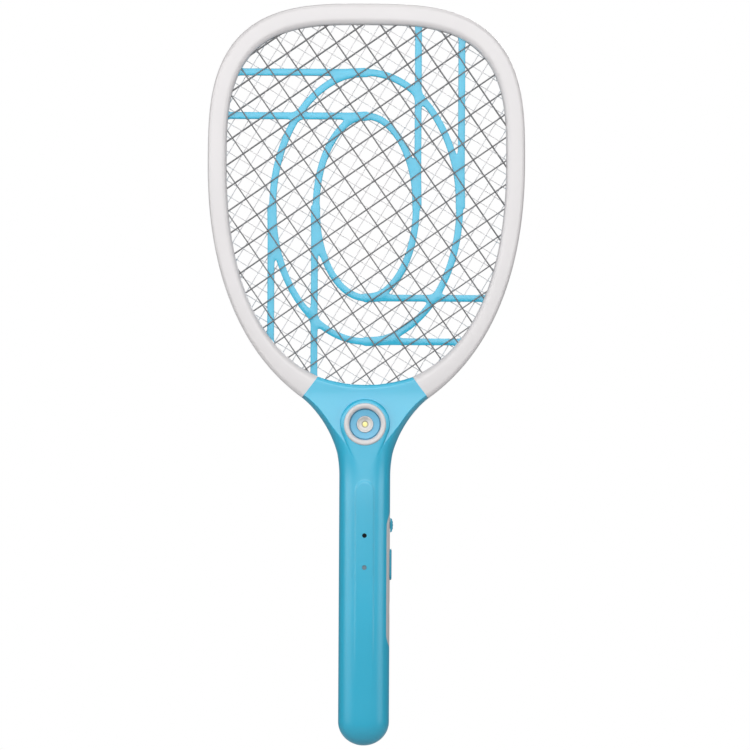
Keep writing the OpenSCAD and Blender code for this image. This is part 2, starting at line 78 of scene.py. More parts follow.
# Head: half-width, half-depth and the outline's superellipse about HEAD_MID
HEAD_A = frame_hi.x
HEAD_TOP = frame_hi.z
HEAD_D = -frame_lo.y
HEAD_MID = 299.0
HEAD_SQUARE = 3.1
FRAME_W = 12.8
FRAME_TOP_W = 14.4
FRAME_WALL = 2.0
LIP_Y = -outer_grid_lo.y + 0.1

# Neck: right ends of the frame's outer and inner edge, and the lowest point of the neck's top edge
NECK_OUTER = Vector((43.5, 139.0))
NECK_INNER = Vector((32.5, 153.6))
THROAT_Z = 148.0
THROAT_ROUND = 3.0

# Grids and spacers end at this share of the frame's width, and hang down to this height
STACK_F = 0.34
STACK_LOW_Z = 141.5

# Handle
GRIP_R = strip_hi.x
GRIP_D = 16.0
GRIP_BOTTOM = grip_lo.z
CAP_H = 16.5
SHELL_WALL = 2.0
STRIP_BOW_R = 23.4

TORCH_Z = (bezel_lo.z + bezel_hi.z) / 2
TORCH_FACE = 15.5
TORCH_BORE_R = 12.5
INDICATOR_BORE_R = 1.6
SHOULDER_D = 15.55
KNOB_Z = (knob_lo.z + knob_hi.z) / 2
BUTTON_Z = (button_lo.z + button_hi.z) / 2
SOCKET_Z = (socket_lo.z + socket_hi.z) / 2
LED_PLACES = [
    (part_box(n)[0].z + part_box(n)[1].z) / 2 / MM for n in ("upper_indicator_led", "lower_indicator_led")
]

# Screw seats, as depth from the parting plane, and the play under each head
FRAME_SEAT = HEAD_D - 1.5
NECK_SEAT = 8.0
GRIP_SEAT = 9.0
NECK_SCREWS_Z = 130
SEAT_PLAY = 0.02
FRAME_HOLE_R = 2.15
HANDLE_HOLE_R = 2.9
SHANK_HOLE_R = 1.5

# Lattice ribs and grid wires
RIB_W = 4.7
OVAL_Z = 270.3
OUTER_OVAL = (64.3, 92.5)
INNER_OVAL = (34.4, 62.5)
WIRE_R = 0.42
FINE_WIRE_R = 0.3
GRID_ANGLE = 34.8
FINE_ANGLE = 59.0
GRID_CENTRE = Vector((0.0, 275.2))


# ---------- curves
def bezier(p, t):
    """Point of the cubic with control points p, at t from 0 to 1."""
    s = 1 - t
    return p[0] * s**3 + 3 * p[1] * t * s * s + 3 * p[2] * t * t * s + p[3] * t**3


def super_r(t, a, b, n):
    """Radius of a superellipse with half-axes a and b in direction t."""
    return (abs(math.cos(t) / a) ** n + abs(math.sin(t) / b) ** n) ** (-1 / n)


def half_outline(a, b, n, low, ups=64, lows=44):
    """Right half of a head outline, from its top down to the neck, as (x, z)."""
    out = []
    for i in range(ups + 1):
        t = math.pi / 2 * (1 - i / ups)
        r = super_r(t, a, b, n)
        out.append(Vector((r * math.cos(t), HEAD_MID + r * math.sin(t))))
    low = [Vector(p) for p in low]
    out += [bezier(low, i / lows) for i in range(1, lows + 1)]
    return out


INNER_A = HEAD_A - FRAME_W
OUTER_HALF = half_outline(
    HEAD_A,
    HEAD_TOP - HEAD_MID,
    HEAD_SQUARE,
    [(HEAD_A, HEAD_MID), (HEAD_A, HEAD_MID - 66), (90.5, 173), NECK_OUTER],
)
INNER_HALF = half_outline(
    INNER_A,
    HEAD_TOP - FRAME_TOP_W - HEAD_MID,
    HEAD_SQUARE + 0.1,
    [(INNER_A, HEAD_MID), (INNER_A, HEAD_MID - 60), (82.5, 176.5), NECK_INNER],
)


def frame_curve(f):
    """The frame's run from the left neck over the top to the right one, at a share f of its width."""
    right = [a.lerp(b, f) for a, b in zip(OUTER_HALF, INNER_HALF)]
    left = [Vector((-p.x, p.y)) for p in right[:0:-1]]
    return left + right


def hanging_arc(x, z, low, steps=24):
    """Arc from (x, z) to (-x, z) that hangs down to height low."""
    r = (x * x + (z - low) ** 2) / (2 * (z - low))
    a = math.asin(x / r)
    angles = [a - 2 * a * i / steps for i in range(steps + 1)]
    return [Vector((r * math.sin(t), low + r - r * math.cos(t))) for t in angles]


def stack_outline(f, low):
    """Closed outline of the grids and spacers."""
    curve = frame_curve(f)
    return curve + hanging_arc(curve[-1].x, curve[-1].y, low)[1:-1]


def smooth(t):
    """Soft step from 0 to 1."""
    t = min(1.0, max(0.0, t))
    return t * t * (3 - 2 * t)


def blend(z, start, end):
    """Soft step from height start to height end."""
    return smooth((z - start) / (end - start))


# ---------- meshes
def new_mesh(name, verts, faces, sharp_deg=35):
    """Object from millimetre vertices, smooth except along edges sharper than sharp_deg."""
    mesh = bpy.data.meshes.new(name)
    mesh.from_pydata([Vector(v) * MM for v in verts], [], faces)
    obj = bpy.data.objects.new(name, mesh)
    bpy.context.scene.collection.objects.link(obj)
    tidy_mesh(obj, sharp_deg)
    return obj


def tidy_mesh(obj, sharp_deg=35):
    """Outward normals, merged doubles, smooth faces and sharp creases."""
    bm = bmesh.new()
    bm.from_mesh(obj.data)
    bmesh.ops.remove_doubles(bm, verts=bm.verts, dist=1e-7)
    bmesh.ops.recalc_face_normals(bm, faces=bm.faces)
    limit = math.radians(sharp_deg)
    for face in bm.faces:
        face.smooth = True
    for edge in bm.edges:
        edge.smooth = len(edge.link_faces) == 2 and edge.calc_face_angle(0) < limit
    bm.to_mesh(obj.data)
    bm.free()


def ring_faces(rings, count, closed_rings=False, caps=True):
    """Quads between rings of count points, with end caps unless the rings close on themselves."""
    faces = []
    for i in range(rings if closed_rings else rings - 1):
        k = (i + 1) % rings
        for j in range(count):
            m = (j + 1) % count
            faces.append((i * count + j, k * count + j, k * count + m, i * count + m))
    if caps and not closed_rings:
        faces.append(tuple(range(count)))
        faces.append(tuple((rings - 1) * count + j for j in reversed(range(count))))
    return faces


def apply_modifiers(obj):
    """Turns the object's modifiers into its mesh."""
    deps = bpy.context.evaluated_depsgraph_get()
    mesh = bpy.data.meshes.new_from_object(obj.evaluated_get(deps))
    obj.modifiers.clear()
    obj.data = mesh


def boolean(obj, others, operation):
    """Combines obj with the others and deletes them."""
    for other in others:
        mod = obj.modifiers.new("boolean", "BOOLEAN")
        mod.operation = operation
        mod.solver = "MANIFOLD"
        mod.object = other
    apply_modifiers(obj)
    for other in others:
        bpy.data.objects.remove(other)


def cut(obj, cutters, sharp_deg=35):
    """Takes the cutters out of obj."""
    boolean(obj, cutters, "DIFFERENCE")
    tidy_mesh(obj, sharp_deg)


def bevel(obj, width, segments=3, angle=40, sharp_deg=35):
    """Rounds the edges sharper than angle."""
    mod = obj.modifiers.new("bevel", "BEVEL")
    mod.width = width * MM
    mod.segments = segments
    mod.limit_method = "ANGLE"
    mod.angle_limit = math.radians(angle)
    apply_modifiers(obj)
    tidy_mesh(obj, sharp_deg)


def prism(name, loop, place, t0, t1):
    """Solid between two copies of a flat loop, which place(x, z, t) puts in space."""
    n = len(loop)
    verts = [place(p[0], p[1], t) for t in (t0, t1) for p in loop]
    faces = [tuple(range(n)), tuple(reversed(range(n, 2 * n)))]
    faces += [(j, (j + 1) % n, n + (j + 1) % n, n + j) for j in range(n)]
    return new_mesh(name, verts, faces)


def facing(x, z, t):
    """Loops in the XZ plane, pushed along Y."""
    return (x, t, z)


def sideways(y, z, t):
    """Loops in the YZ plane, pushed along X."""
    return (t, y, z)


def disc(x, z, r, steps=64):
    return [
        (x + r * math.cos(2 * math.pi * i / steps), z + r * math.sin(2 * math.pi * i / steps))
        for i in range(steps)
    ]


def rectangle(x0, z0, x1, z1):
    return [(x0, z0), (x1, z0), (x1, z1), (x0, z1)]


def stadium(x, z, w, length, steps=24):
    """Loop of a stadium whose long side runs along the second axis."""
    loop = []
    for end, start in ((1, 0.0), (-1, math.pi)):
        for i in range(steps + 1):
            t = start + math.pi * i / steps
            loop.append((x + w / 2 * math.cos(t), z + end * (length - w) / 2 + w / 2 * math.sin(t)))
    return loop


def lathe(name, profile, centre, out=-1, steps=128, sharp_deg=35):
    """Turns a closed profile of (radius, depth) about a line along Y; out is -1 for depth to the front."""
    x, y, z = centre
    verts = []
    for i in range(steps):
        t = 2 * math.pi * i / steps
        verts += [(x + r * math.cos(t), y + out * h, z + r * math.sin(t)) for r, h in profile]
    return new_mesh(name, verts, ring_faces(steps, len(profile), closed_rings=True), sharp_deg)


def corner(cx, cy, r, a0, a1, steps=6):
    """Arc of a profile's rounded corner, angles in degrees."""
    angles = [math.radians(a0 + (a1 - a0) * i / steps) for i in range(steps + 1)]
    return [(cx + r * math.cos(t), cy + r * math.sin(t)) for t in angles]


def loop_field(x, z, loop):
    """Signed distance of the points to a closed outline, negative inside it."""
    best = np.full(x.shape, 1e9)
    odd = np.zeros(x.shape, bool)
    for i in range(len(loop)):
        (ax, az), (bx, bz) = loop[i - 1], loop[i]
        ex, ez = bx - ax, bz - az
        t = np.clip(((x - ax) * ex + (z - az) * ez) / (ex * ex + ez * ez), 0, 1)
        best = np.minimum(best, np.hypot(x - ax - t * ex, z - az - t * ez))
        if az != bz:
            odd ^= ((az > z) != (bz > z)) & (x < ex * (z - az) / ez + ax)
    return np.where(odd, -best, best)


def contour(field, x0, z0, step, level):
    """Segments of a field's contour at a level, as pairs of points."""
    f = field - level
    below = f < 0
    cells = below[:-1, :-1].astype(int) + below[1:, :-1] + below[1:, 1:] + below[:-1, 1:]
    segments = []
    for i, j in zip(*np.nonzero((cells > 0) & (cells < 4))):
        ring = [(i, j), (i + 1, j), (i + 1, j + 1), (i, j + 1)]
        hits = []
        for a, b in zip(ring, ring[1:] + ring[:1]):
            fa, fb = f[a], f[b]
            if (fa < 0) != (fb < 0):
                a, b, fa, fb = (a, b, fa, fb) if a < b else (b, a, fb, fa)
                t = min(0.999, max(0.001, fa / (fa - fb)))
                x = x0 + step * (a[0] + t * (b[0] - a[0]))
                z = z0 + step * (a[1] + t * (b[1] - a[1]))
                hits.append((x, z))
        segments += [(hits[k], hits[k + 1]) for k in range(0, len(hits) - 1, 2)]
    return segments


def edged_sheet(name, field, corner_lo, corner_hi, y0, y1, levels, step=0.9):
    """Plate of the region where field(x, z) is negative, with rounded edges on both faces.

    levels are (field value, height lost there), from the wall to the flat face.
    """
    xs = np.arange(corner_lo.x, corner_hi.x, step)
    zs = np.arange(corner_lo.y, corner_hi.y, step)
    grid = field(*np.meshgrid(xs, zs, indexing="ij"))
    points, edges, drops, index = [], [], [], {}
    for level, drop in levels:
        for segment in contour(grid, xs[0], zs[0], step, level):
            ends = []
            for p in segment:
                key = (round(p[0], 5), round(p[1], 5), level)
                if key not in index:
                    index[key] = len(points)
                    points.append(Vector(p))
                    drops.append(drop)
                ends.append(index[key])
            edges.append(ends)
    flat, _, tris, origins, *_ = delaunay_2d_cdt(points, edges, [], 0, 1e-6)
    middle_x = np.array([sum(flat[i].x for i in t) / 3 for t in tris])
    middle_z = np.array([sum(flat[i].y for i in t) / 3 for t in tris])
    kept = [t for t, f in zip(tris, field(middle_x, middle_z)) if f < 0]
    used = sorted({i for t in kept for i in t})
    place = {v: i for i, v in enumerate(used)}
    n = len(used)
    lost = [drops[origins[v][0]] if origins[v] else 0.0 for v in used]
    verts = [(flat[v].x, y0 + d, flat[v].y) for v, d in zip(used, lost)]
    verts += [(flat[v].x, y1 - d, flat[v].y) for v, d in zip(used, lost)]
    sides = {}
    for t in kept:
        for a, b in zip(t, t[1:] + t[:1]):
            sides[frozenset((a, b))] = None if frozenset((a, b)) in sides else (a, b)
    faces = [tuple(place[v] for v in t) for t in kept]
    faces += [tuple(n + place[v] for v in reversed(t)) for t in kept]
    faces += [(place[e[1]], place[e[0]], n + place[e[0]], n + place[e[1]]) for e in sides.values() if e]
    return new_mesh(name, verts, faces, 40)


# ---------- materials
class Nodes:
    """Short-hand for building a material's node tree."""

    def __init__(self, name):
        self.mat = bpy.data.materials.new(name)
        self.mat.use_nodes = True
        self.tree = self.mat.node_tree
        self.bsdf = self.tree.nodes["Principled BSDF"]
        self.coords = self.tree.nodes.new("ShaderNodeTexCoord").outputs["Object"]

    def new(self, kind, **values):
        node = self.tree.nodes.new(kind)
        for key, value in values.items():
            if isinstance(value, bpy.types.NodeSocket):
                self.tree.links.new(value, node.inputs[key])
            elif key in node.inputs:
                node.inputs[key].default_value = value
            else:
                setattr(node, key, value)
        return node

    def noise(self, scale, detail=3.0, rough=0.5):
        return self.new(
            "ShaderNodeTexNoise", Vector=self.coords, Scale=scale, Detail=detail, Roughness=rough
        ).outputs["Fac"]

    def span(self, fac, low, high, from_min=0.3, from_max=0.7):
        node = self.new("ShaderNodeMapRange", clamp=True)
        self.tree.links.new(fac, node.inputs["Value"])
        for key, value in (
            ("From Min", from_min), ("From Max", from_max), ("To Min", low), ("To Max", high),
        ):
            node.inputs[key].default_value = value
        return node.outputs["Result"]

    def mix(self, fac, a, b):
        node = self.new("ShaderNodeMix", data_type="RGBA")
        self.tree.links.new(fac, node.inputs["Factor"])
        node.inputs[6].default_value = (*a, 1)
        node.inputs[7].default_value = (*b, 1)
        return node.outputs[2]

    def bump(self, height, strength, distance, normal=None):
        node = self.new("ShaderNodeBump", Strength=strength, Distance=distance, Height=height)
        if normal:
            self.tree.links.new(normal, node.inputs["Normal"])
        return node.outputs["Normal"]

    def link(self, socket, name):
        self.tree.links.new(socket, self.bsdf.inputs[name])


def shades(color, spread):
    """Dark and light end of a colour's natural variation."""
    return tuple(c * (1 - spread) for c in color), tuple(min(1.0, c * (1 + spread)) for c in color)


def moulded(name, color, rough=0.38, grain=0.03, spread=0.03, speck=2600.0, sheen=0.5):
    """Injection-moulded plastic: fine spark-eroded grain, slow flow marks and slight gloss changes."""
    n = Nodes(name)
    slow = n.noise(22.0, 2.0)
    fine = n.noise(speck, 2.0, 0.6)
    n.link(n.mix(n.span(slow, 0.0, 1.0), *shades(color, spread)), "Base Color")
    n.link(n.span(n.noise(60.0, 3.0), rough - 0.015, rough + 0.02, 0.2, 0.8), "Roughness")
    waves = n.bump(slow, 0.05, 0.0012)
    n.link(n.bump(fine, grain, 0.00012, waves), "Normal")
    n.bsdf.inputs["IOR"].default_value = 1.58
    n.bsdf.inputs["Specular IOR Level"].default_value = sheen
    return n.mat


def plated(name, color, rough=0.3, streak=900.0, spread=0.12):
    """Drawn or stamped metal with fine scratches and uneven plating."""
    n = Nodes(name)
    scratches = n.noise(streak, 5.0, 0.7)
    n.link(n.mix(n.span(n.noise(300.0, 3.0), 0.0, 1.0), *shades(color, spread)), "Base Color")
    n.link(n.span(scratches, rough - 0.08, rough + 0.12), "Roughness")
    n.link(n.bump(scratches, 0.15, 0.00005), "Normal")
    n.bsdf.inputs["Metallic"].default_value = 1.0
    return n.mat


def glossy_lens(name, color, rough=0.12, coat=0.6, sheen=0.5):
    """Cast epoxy or silicone with faint swirls."""
    n = Nodes(name)
    swirl = n.noise(700.0, 2.0)
    n.link(n.mix(n.span(swirl, 0.0, 1.0), tuple(c * 0.9 for c in color), color), "Base Color")
    n.link(n.span(swirl, rough, rough + 0.08), "Roughness")
    n.link(n.bump(swirl, 0.05, 0.00005), "Normal")
    n.bsdf.inputs["Coat Weight"].default_value = coat
    n.bsdf.inputs["Specular IOR Level"].default_value = sheen
    return n.mat


BLUE = (0.013, 0.415, 0.62)
WHITE = (0.60, 0.58, 0.585)
MATERIALS = {
    "shell_blue": moulded("shell_blue", BLUE, rough=0.3, grain=0.01, sheen=0.8),
    "control_blue": moulded("control_blue", tuple(c * 0.72 for c in BLUE), rough=0.42),
    "dish_blue": moulded("dish_blue", (0.13, 0.45, 0.67), rough=0.36),
    "frame_white": moulded("frame_white", WHITE, rough=0.35, spread=0.012, sheen=0.85),
    "grid_steel": plated("grid_steel", (0.24, 0.235, 0.24), rough=0.5),
    "fine_grid_steel": moulded("fine_grid_steel", (0.74, 0.72, 0.73), rough=0.45),
    "screw_steel": plated("screw_steel", (0.52, 0.52, 0.53)),
    "switch_steel": plated("switch_steel", (0.6, 0.6, 0.61), rough=0.26),
    "contact_brass": plated("contact_brass", (0.72, 0.52, 0.22)),
    "ferrite": plated("ferrite", (0.06, 0.06, 0.065), rough=0.6),
    "reflector_white": moulded("reflector_white", (0.74, 0.73, 0.74), rough=0.22, grain=0.01),
    "led_ceramic": moulded("led_ceramic", (0.40, 0.39, 0.31), rough=0.5),
    "led_phosphor": glossy_lens("led_phosphor", (0.90, 0.82, 0.28), rough=0.25),
    "board_green": moulded("board_green", (0.02, 0.20, 0.08), rough=0.3),
    "black_plastic": moulded("black_plastic", (0.015, 0.015, 0.016), rough=0.5),
    "winding_tape": moulded("winding_tape", (0.70, 0.46, 0.07), rough=0.35),
    "capacitor_red": moulded("capacitor_red", (0.40, 0.045, 0.03), rough=0.3),
    "resistor_tan": moulded("resistor_tan", (0.55, 0.40, 0.24), rough=0.35),
    "led_dark": glossy_lens("led_dark", (0.002, 0.003, 0.004), rough=0.3, coat=0.0, sheen=0.15),
    "led_grey": glossy_lens("led_grey", (0.30, 0.36, 0.40)),
    "cell_wrap": moulded("cell_wrap", (0.12, 0.14, 0.42), rough=0.25),
    "lead_red": moulded("lead_red", (0.48, 0.02, 0.02), rough=0.4),
    "lead_black": moulded("lead_black", (0.015, 0.015, 0.015), rough=0.4),
    "lead_white": moulded("lead_white", (0.74, 0.74, 0.72), rough=0.4),
}
glow = MATERIALS["led_phosphor"].node_tree.nodes["Principled BSDF"].inputs
glow["Emission Color"].default_value = (1.0, 0.93, 0.45, 1)
glow["Emission Strength"].default_value = 0.25


def finish_piece(obj, slot, body, *nodes):
    """Gives a piece its material and its body, and hides the CAD nodes it stands for."""
    obj.data.materials.clear()
    obj.data.materials.append(MATERIALS[slot])
    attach(obj, body)
    if nodes:
        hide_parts(*nodes)
    return obj


# ---------- head
def middle(values):
    return (min(values) + max(values)) / 2


def screw_places(node, reach):
    """Middles (x, z) of a CAD node's screws; points closer than reach belong to one screw."""
    groups = []
    for v in frame["nodes"][node].data.vertices:
        p = Vector((v.co.x, v.co.z)) / MM
        near = [g for g in groups if (p - g[0]).length < reach]
        if near:
            near[0].append(p)
        else:
            groups.append([p])
    return [(middle([p.x for p in g]), middle([p.y for p in g])) for g in groups]


FRAME_SCREWS = screw_places("head_frame_screws", 6)
HANDLE_SCREWS = screw_places("handle_screws", 7)


def frame_profile():
    """Section of half the frame as (share of the width, depth), from the parting plane round and back."""
    wall = FRAME_WALL / FRAME_W
    inner_y = HEAD_D - FRAME_WALL - 1.6
    edge_r = 2.6
    profile = [(0.0, 0.35)]
    rounding = corner(0, HEAD_D - edge_r, edge_r, 180, 92, 10)
    profile += [((edge_r + x) / FRAME_W, y) for x, y in rounding]
    # the front face falls to the opening in a soft slope
    slope = (
        (0.50, 0.0), (0.68, 0.03), (0.76, 0.14), (0.82, 0.38), (0.88, 0.8),
        (0.93, 1.35), (0.97, 2.1), (0.99, 2.8), (1.0, 3.3),
    )
    profile += [(f, HEAD_D - drop) for f, drop in slope]
    # inner edge and lip over the grid, then the hollow inside
    profile += [(1.0, LIP_Y + 0.15), (0.988, LIP_Y), (1 - wall, LIP_Y)]
    profile += [(1 - wall, inner_y), (wall, inner_y), (wall, 0.0), (0.3 / FRAME_W, 0.0)]
    return profile


def head_frame(name, sign):
    """One half of the white frame; sign is -1 for the front and 1 for the rear."""
    profile = frame_profile()
    curves = [frame_curve(f) for f, _ in profile]
    count = len(curves[0])
    verts = [
        (curves[j][i].x, sign * profile[j][1], curves[j][i].y)
        for i in range(count)
        for j in range(len(profile))
    ]
    obj = new_mesh(name, verts, ring_faces(count, len(profile)), 30)
    if sign > 0:
        for x, z in FRAME_SCREWS:
            hole = prism("hole", disc(x, z, FRAME_HOLE_R, 40), facing, FRAME_SEAT, HEAD_D + 2)
            cut(obj, [hole], 30)
    return finish_piece(obj, "frame_white", "swatter", name)


SHORTEST_WIRE = 4.0


def wire_runs(angle, pitch, shift, loop, count):
    """End points of the parallel wires of one family, clipped to a closed outline."""
    a = math.radians(angle)
    along = Vector((math.cos(a), math.sin(a)))
    across = Vector((-math.sin(a), math.cos(a)))
    runs = []
    for i in range(-count, count + 1):
        origin = GRID_CENTRE + across * (shift + i * pitch)
        hits = []
        for j in range(len(loop)):
            p, q = loop[j] - origin, loop[(j + 1) % len(loop)] - origin
            dp, dq = p.dot(across), q.dot(across)
            if (dp > 0) != (dq > 0):
                hits.append((p + (q - p) * (dp / (dp - dq))).dot(along))
        hits.sort()
        for lo, hi in zip(hits[::2], hits[1::2]):
            if hi - lo > SHORTEST_WIRE:
                runs.append((origin + along * lo, origin + along * hi))
    return runs


def wire_grid(name, slot, y, r, families, loop, sides=10):
    """Welded grid: each family of round wires lies on one side of the sheet y."""
    verts, faces = [], []
    for side, (angle, pitch, shift, count) in zip((-1, 1), families):
        for p, q in wire_runs(angle, pitch, shift, loop, count):
            along = (q - p).normalized()
            u = Vector((-along.y, along.x))
            start = len(verts)
            for end in (p, q):
                for k in range(sides):
                    t = 2 * math.pi * k / sides
                    c = end + u * (r * math.cos(t))
                    verts.append((c.x, y + side * r * 0.85 + r * math.sin(t), c.y))
            faces += [
                (start + k, start + (k + 1) % sides, start + sides + (k + 1) % sides, start + sides + k)
                for k in range(sides)
            ]
            faces.append(tuple(start + k for k in reversed(range(sides))))
            faces.append(tuple(start + sides + k for k in range(sides)))
    obj = new_mesh(name, verts, faces, 60)
    return finish_piece(obj, slot, "swatter", name)


def soft_union(a, b, k=3.0):
    """Smaller of two distances, filleted where they meet."""
    h = np.maximum(k - np.abs(a - b), 0) / k
    return np.minimum(a, b) - h * h * k / 4


def bar_field(x, z, x0, z0, x1, z1):
    """Signed distance to a rectangle."""
    qx = np.abs(x - (x0 + x1) / 2) - (x1 - x0) / 2
    qz = np.abs(z - (z0 + z1) / 2) - (z1 - z0) / 2
    return np.hypot(np.maximum(qx, 0), np.maximum(qz, 0)) + np.minimum(np.maximum(qx, qz), 0)


def oval_field(x, z, half):
    """Signed distance to an oval rib with half-axes half."""
    a, b = half
    k0 = np.hypot(x / a, (z - OVAL_Z) / b)
    k1 = np.hypot(x / a**2, (z - OVAL_Z) / b**2)
    return np.abs(k0 * (k0 - 1) / np.maximum(k1, 1e-9)) - RIB_W / 2


def rib_field(x, z):
    """Distance field of the two ovals and the eight straight ribs that leave them."""
    w = RIB_W / 2
    far_x, far_z = 130, 170
    field = soft_union(oval_field(x, z, OUTER_OVAL), oval_field(x, z, INNER_OVAL))
    for a, b in (OUTER_OVAL, INNER_OVAL):
        side = a + 1
        bars = (
            (-far_x, OVAL_Z + b - w, 0, OVAL_Z + b + w),
            (0, OVAL_Z - b - w, far_x, OVAL_Z - b + w),
            (side - w, OVAL_Z, side + w, OVAL_Z + far_z),
            (-side - w, OVAL_Z - far_z, -side + w, OVAL_Z),
        )
        for bar in bars:
            field = soft_union(field, bar_field(x, z, *bar))
    return field


RIM_F = 0.92
RIM_RISE = 5
# (distance inside the wall, height lost there) of a rib's rounded edge
RIB_EDGE = ((0.0, 0.4), (-0.12, 0.12), (-0.4, 0.0))


def spacer(name):
    """Ribbed lattice with rounded rib edges; its rim lies hidden inside the frame."""
    lo, hi = node_box(name)
    rim_out = stack_outline(STACK_F, STACK_LOW_Z)
    rim_in = stack_outline(RIM_F, STACK_LOW_Z + RIM_RISE)

    def field(x, z):
        ribs = soft_union(rib_field(x, z), -loop_field(x, z, rim_in))
        return np.maximum(ribs, loop_field(x, z, rim_out))

    corner_lo = Vector((lo.x - 2, lo.z - 2))
    corner_hi = Vector((hi.x + 2, hi.z + 2))
    obj = edged_sheet(name, field, corner_lo, corner_hi, lo.y, hi.y, RIB_EDGE)
    return finish_piece(obj, "shell_blue", "swatter", name)


# ---------- handle
NECK_CURVE = [NECK_OUTER, Vector((33, 131)), Vector((20, 113)), Vector((GRIP_R, 93))]
NECK_POINTS = [bezier(NECK_CURVE, 1 - i / 400) for i in range(401)]
EDGE_SHARE = 0.98
NECK_EDGE = 4.2
# heights over which the depth and the edges change from barrel to neck
SHOULDER_RUN = (62, 100)
NECK_RUN = (96, 144)
EDGE_RUN = (80, 122)
CHAMFER_RUN = (85, 125)
# exponent of the grip's section, and how much flatter it gets on the neck
ROUND_EXPONENT = 2.6
EXPONENT_DROP = 1.2


def depth_at(z):
    """Half-depth of the handle: barrel, then nearly flat below the torch, then the thin neck."""
    barrel = GRIP_D + (SHOULDER_D - GRIP_D) * blend(z, *SHOULDER_RUN)
    return barrel + (HEAD_D - barrel) * blend(z, *NECK_RUN)


def edge_at(z, half):
    """Width of the rounding at each side: nearly all of the grip, a narrow band on the neck."""
    round_grip = EDGE_SHARE * half
    return round_grip + (NECK_EDGE - round_grip) * blend(z, *EDGE_RUN)


def neck_half_width(z):
    """Half-width of the neck, from the nearest point of its outer curve."""
    return min(NECK_POINTS, key=lambda p: abs(p.y - z)).x


BARREL_END = 85.0
FLARE_END = 101.0
FLARE = neck_half_width(FLARE_END) - GRIP_R


def half_width_at(z):
    """Half-width of the handle below the frame's ends: straight barrel, soft flare, neck."""
    if z <= BARREL_END:
        return GRIP_R
    if z <= FLARE_END:
        return GRIP_R + FLARE * ((z - BARREL_END) / (FLARE_END - BARREL_END)) ** 2
    return neck_half_width(z)


CAP_STATIONS = 26
NECK_START = 93.0
STOCK_TOP = 157
FORK_SPREAD = 1.38
NECK_STEP = 0.55


def handle_stations():
    """(height, half-width, share of the full depth) up the handle, closer together on the neck."""
    out = []
    for i in range(CAP_STATIONS, 0, -1):
        a = math.radians(89.3 * i / CAP_STATIONS)
        out.append((GRIP_BOTTOM + CAP_H - CAP_H * math.sin(a), GRIP_R * math.cos(a), math.cos(a)))
    z = GRIP_BOTTOM + CAP_H
    while z < NECK_START - 1:
        out.append((z, half_width_at(z), 1.0))
        z += 1.6 if z < 60 else 0.8
    z = NECK_START
    while z < NECK_OUTER.y:
        out.append((z, half_width_at(z), 1.0))
        z += NECK_STEP
    # stock above the frame's ends, which the neck cutter takes off
    while z < STOCK_TOP:
        out.append((z, NECK_OUTER.x + (z - NECK_OUTER.y) * FORK_SPREAD, 1.0))
        z += NECK_STEP
    return out


# Raised panel on the front of the grip: a long stadium that fades out downwards
PILL_TOP = 82.6
PILL_LOW = -69.0
PILL_HALF = 7.0
PILL_BEVEL = 1.35
PILL_RISE = 0.7
PILL_FADE = 90.0


def pill_distance(x, z):
    """Distance from the raised panel's outline on the front of the grip, negative inside it."""
    dz = z - min(max(z, PILL_LOW + PILL_HALF), PILL_TOP - PILL_HALF)
    return math.hypot(x, dz) - PILL_HALF


def front_relief(x, z, depth):
    """Depth of the front shell at a place where the plain handle has the given depth."""
    d = pill_distance(x, z)
    if d > 0:
        return depth
    return depth + PILL_RISE * smooth(-d / PILL_BEVEL) * smooth((z - PILL_LOW) / PILL_FADE)


def throat_distance(x, z):
    """Distance below the hanging top edge of the neck."""
    rise = NECK_INNER.y - THROAT_Z
    r = (NECK_INNER.x**2 + rise**2) / (2 * rise)
    return math.hypot(x, z - THROAT_Z - r) - r


def rounded_throat(x, z, depth):
    """Depth with the neck's top edge rounded over."""
    d = throat_distance(x, z)
    if d < 0:
        return depth - THROAT_ROUND
    if d < THROAT_ROUND:
        return depth - THROAT_ROUND + math.sqrt(THROAT_ROUND**2 - (THROAT_ROUND - d) ** 2)
    return depth


def front_face(x, z, depth):
    return rounded_throat(x, z, front_relief(x, z, depth))


def face_depth(x, z, half, depth, edge):
    """Depth of the plain handle at x, where its edge rounding turns into a chamfer up the neck."""
    exponent = ROUND_EXPONENT - EXPONENT_DROP * blend(z, *CHAMFER_RUN)
    q = min(1.0, max(0.0, (abs(x) - half + edge) / edge))
    return depth * (1 - q**exponent) ** (1 / exponent)


# shares of the depth between which a relief fades in
RELIEF_FROM = 0.35
RELIEF_SPAN = 0.3


def half_section(z, half, depth, edge, count, relief):
    """Points of a half section from the left parting edge over the face to the right one."""
    out = []
    for i in range(count + 1):
        x = half * math.sin(math.pi * (i / count - 0.5))
        y = face_depth(x, z, half, depth, edge)
        if relief and y > RELIEF_FROM * depth:
            y += (relief(x, z, y) - y) * smooth((y / depth - RELIEF_FROM) / RELIEF_SPAN)
        out.append((x, y))
    return out


def handle_solid(name, sign, inset, count, relief, step=1):
    """Lofted half of the handle, drawn in by inset from its outer surface."""
    stations = handle_stations()[::step]
    verts = []
    for z, half, share in stations:
        full = depth_at(z)
        if share < 1:
            k = (GRIP_R - inset) / GRIP_R
            half, depth = half * k, (full - inset) * share
            z = GRIP_BOTTOM + CAP_H + (z - GRIP_BOTTOM - CAP_H) * (CAP_H - inset) / CAP_H
        else:
            half, depth = half - inset, full - inset
        edge = min(edge_at(z, half), half * EDGE_SHARE)
        section = half_section(z, half, depth, edge, count, relief)
        verts += [(x, sign * y, z) for x, y in section]
    return new_mesh(name, verts, ring_faces(len(stations), count + 1), 50)


